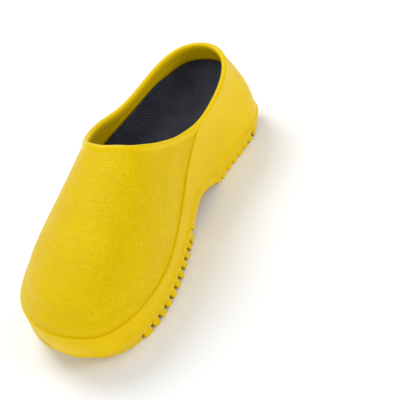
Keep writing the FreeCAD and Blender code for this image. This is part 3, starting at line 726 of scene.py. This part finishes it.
COVER_LIFT, COVER_THICKNESS = 0.6, 0.8
COVER_DROP = 4.0        # down over the layers' edge
COVER_ROUND = 1.3
COVER_SHOULDER = 1.1
COVER_COLUMNS, COVER_RINGS = 420, 45
SPINE_ENDS = (48, 246)
SPINE = ((48, 90, 150, 200, 246), (3, 3, -3, -6, -7))      # stations and x of the middle line


def cover_wrap(station):
    """How far the cover stands out over the layers' edge: less where the heel cup is near."""
    return (0.1 + 0.9 * (1 - ease((station - 160) / 45)))[:, None]


def cover_rings():
    """Rings of the cover from the bottom of its edge to the middle line."""
    t = np.linspace(0, COLUMNS, COVER_COLUMNS, endpoint=False)
    bottom, _ = footbed_ring(t, COVER_DROP)
    edge, inward = footbed_ring(t, 0.0)
    station = station_of(edge)
    wrap = cover_wrap(station)
    rings = [bottom - inward * wrap,
             edge - inward * wrap - np.array([0, 0, COVER_DROP / 2])]
    for turn in np.radians((15, 40, 65, 90)):
        lift = COVER_ROUND * math.sin(turn) - COVER_ROUND + COVER_LIFT
        push = (COVER_SHOULDER + wrap) * (1 - math.cos(turn)) - wrap
        ring = edge + inward * push
        ring[:, 2] = insole_z(ring[:, 0], station_of(ring)) + lift
        rings.append(ring)
    spine_u = np.clip(station, *SPINE_ENDS)
    spine = np.c_[np.interp(spine_u, *SPINE), spine_u - TOE_DISTANCE]
    start = (edge + inward * COVER_SHOULDER)[:, :2]
    for f in np.linspace(0, 1, COVER_RINGS + 1)[1:]:
        plan = start + (spine - start) * f
        rings.append(np.c_[plan, insole_z(plan[:, 0], station_of(plan)) + COVER_LIFT])
    return rings


def make_cover():
    rings = cover_rings()
    grid = np.stack(rings, axis=1)
    count, points = grid.shape[:2]
    faces = []
    for i in range(count):
        j = (i + 1) % count
        for k in range(points - 1):
            faces.append((i * points + k, j * points + k,
                          j * points + k + 1, i * points + k + 1))
    made = mesh_object("footbed_woven_cover", grid.reshape(-1, 3), faces)
    tidy(made, 0.05)
    solid = made.modifiers.new("thickness", "SOLIDIFY")
    solid.thickness = COVER_THICKNESS * MM
    solid.offset = -1
    finish_piece(made, "footbed", "navy_textile", navy, "footbed_cover")


# ------------------------------------------------------------------ tread

VOXEL = 0.55
RIB_PITCH, RIB_SLANT = 1.5, 0.3
TOOTH_FLARE, FLARE_HEIGHT = 3.2, 9
SIDE_FACING = 0.35      # faces with less of their normal pointing sideways stay in place


def rounded_copy(node, name):
    """A copy of a tread node with its edges rounded as in a mould."""
    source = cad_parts[node]
    made = bpy.data.objects.new(name, source.data.copy())
    bpy.context.scene.collection.objects.link(made)
    remesh = made.modifiers.new("remesh", "REMESH")
    remesh.mode = "VOXEL"
    remesh.voxel_size = VOXEL * MM
    relax = made.modifiers.new("relax", "SMOOTH")
    relax.iterations = 2
    relax.factor = 0.5
    graph = bpy.context.evaluated_depsgraph_get()
    mesh = bpy.data.meshes.new_from_object(made.evaluated_get(graph))
    made.modifiers.clear()
    made.data = mesh
    mesh.polygons.foreach_set("use_smooth", [True] * len(mesh.polygons))
    return made


def rib_and_flare(mesh, ribs, flare):
    """Pushes the outward sides out level: fine upright ribs, and a flare towards the ground."""
    moved = []
    for vertex in mesh.vertices:
        x, y, z = vertex.co / MM
        out = vertex.normal.x if x > 0 else -vertex.normal.x
        side = max(0.0, out - SIDE_FACING)
        wave = math.sin(2 * math.pi * (y + RIB_SLANT * x) / RIB_PITCH)
        widening = flare * max(0.0, 1 - max(z, 0) / FLARE_HEIGHT)
        push = (ribs * wave + widening) * side * MM
        moved.append(vertex.co + Vector((vertex.normal.x, vertex.normal.y, 0)) * push)
    for vertex, place in zip(mesh.vertices, moved):
        vertex.co = place


# Depth of the fine ribs on each tread node.
TREAD_NODES = {
    "toe_bevel_pad": 0.0, "heel_bevel_pad": 0.0, "forefoot_lugs_medial": 0.08,
    "forefoot_lugs_lateral": 0.08, "forefoot_centre_blocks": 0.0, "waist_lugs_medial": 0.1,
    "waist_lugs_lateral": 0.1, "heel_lugs_medial": 0.1, "heel_lugs_lateral": 0.1,
    "heel_breast_blocks": 0.12, "heel_centre_blocks": 0.0,
}


def make_tread():
    for node, ribs in TREAD_NODES.items():
        made = rounded_copy(node, node + "_moulded")
        if ribs:
            rib_and_flare(made.data, ribs, TOOTH_FLARE if "lugs" in node else 0.0)
        finish_piece(made, "shell", "tread_rubber", tread, node)


def dress_cad_nodes():
    """Materials of the CAD nodes that show as they are."""
    for node, material in (("midsole", smooth), ("outsole_plate", smooth),
                           ("shank_panel", smooth), ("footbed_jute", jute),
                           ("footbed_core", cork), ("footbed_liner", felt)):
        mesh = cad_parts[node].data
        mesh.materials.clear()
        mesh.materials.append(material)


# ------------------------------------------------------------------ camera, light, floor

AZIMUTH, ELEVATION, ROLL = math.radians(41.9), math.radians(43.05), math.radians(-18.0)
DISTANCE = 0.6568
OFFSET = (-0.0485, -0.0124)     # right and down, from the view's middle to the aim
LENS, SENSOR = 75.42, 36        # millimetres
FAR_CLIP = 20
AIM = Vector((-MIDDLE * MM, (LENGTH / 2 - TOE_DISTANCE) * MM, 0.040))


def camera_axes():
    """The camera's right, down and forward directions."""
    back = Vector((math.sin(AZIMUTH) * math.cos(ELEVATION),
                   -math.cos(AZIMUTH) * math.cos(ELEVATION), math.sin(ELEVATION)))
    forward = -back
    right = forward.cross(Vector((0, 0, 1))).normalized()
    down = forward.cross(right)
    c, s = math.cos(ROLL), math.sin(ROLL)
    return right * c - down * s, right * s + down * c, forward


RIGHT, DOWN, FORWARD = camera_axes()


def make_camera():
    data = bpy.data.cameras.new("camera")
    data.sensor_width = SENSOR
    data.lens = LENS
    data.clip_end = FAR_CLIP
    made = bpy.data.objects.new("camera", data)
    bpy.context.scene.collection.objects.link(made)
    place = AIM - RIGHT * OFFSET[0] - DOWN * OFFSET[1] - FORWARD * DISTANCE
    turn = Matrix((RIGHT, -DOWN, -FORWARD)).transposed().to_4x4()
    made.matrix_world = Matrix.Translation(place) @ turn
    bpy.context.scene.camera = made


LIT_POINT = Vector((0, 0, 0.03))


def area_light(name, direction, distance, size, power):
    data = bpy.data.lights.new(name, "AREA")
    data.shape = "DISK"
    data.size = size
    data.energy = power
    made = bpy.data.objects.new(name, data)
    bpy.context.scene.collection.objects.link(made)
    direction = direction.normalized()
    made.location = direction * distance + LIT_POINT
    made.rotation_euler = direction.to_track_quat("Z", "Y").to_euler()


SKY, SKY_STRENGTH = (0.93, 0.96, 1.0, 1), 0.62
FLOOR_HALF = 3000
FLOOR_SHADES = [(0.3, (0.93, 0.93, 0.935)), (0.7, (0.96, 0.96, 0.96))]


def make_world():
    world = bpy.data.worlds.new("studio")
    world.use_nodes = True
    background = world.node_tree.nodes["Background"]
    background.inputs["Color"].default_value = SKY
    background.inputs["Strength"].default_value = SKY_STRENGTH
    bpy.context.scene.world = world


def make_lights():
    """Three soft discs, placed from the camera's own directions."""
    area_light("key", -FORWARD * 0.2 - DOWN * 1.0 - RIGHT * 0.7, 1.1, 0.7, 7.5)
    area_light("fill", -FORWARD * 0.6 + RIGHT * 1.0 - DOWN * 0.4, 1.3, 0.7, 6.0)
    area_light("front", -FORWARD * 0.8 + DOWN * 0.6 - RIGHT * 0.5, 1.3, 0.8, 4.5)


def make_floor():
    corners = [(FLOOR_HALF * a, FLOOR_HALF * b, 0) for a, b in ((-1, -1), (1, -1), (1, 1), (-1, 1))]
    floor = mesh_object("floor", corners, [(0, 1, 2, 3)], shade_smooth=False)
    material, nodes, links, shader = node_tree("pale_floor")
    mottle = add(nodes, "ShaderNodeTexNoise", Scale=3.0, Detail=3.0)
    links.new(ramp(nodes, links, mottle.outputs["Fac"], FLOOR_SHADES),
              shader.inputs["Base Color"])
    shader.inputs["Roughness"].default_value = 0.8
    floor.data.materials.append(material)


def make_studio():
    bpy.context.scene.view_settings.view_transform = "Standard"
    make_world()
    make_lights()
    make_floor()


make_vamp()
make_side_wall()
make_rim()
make_welt()
make_cover()
make_tread()
dress_cad_nodes()
make_camera()
make_studio()
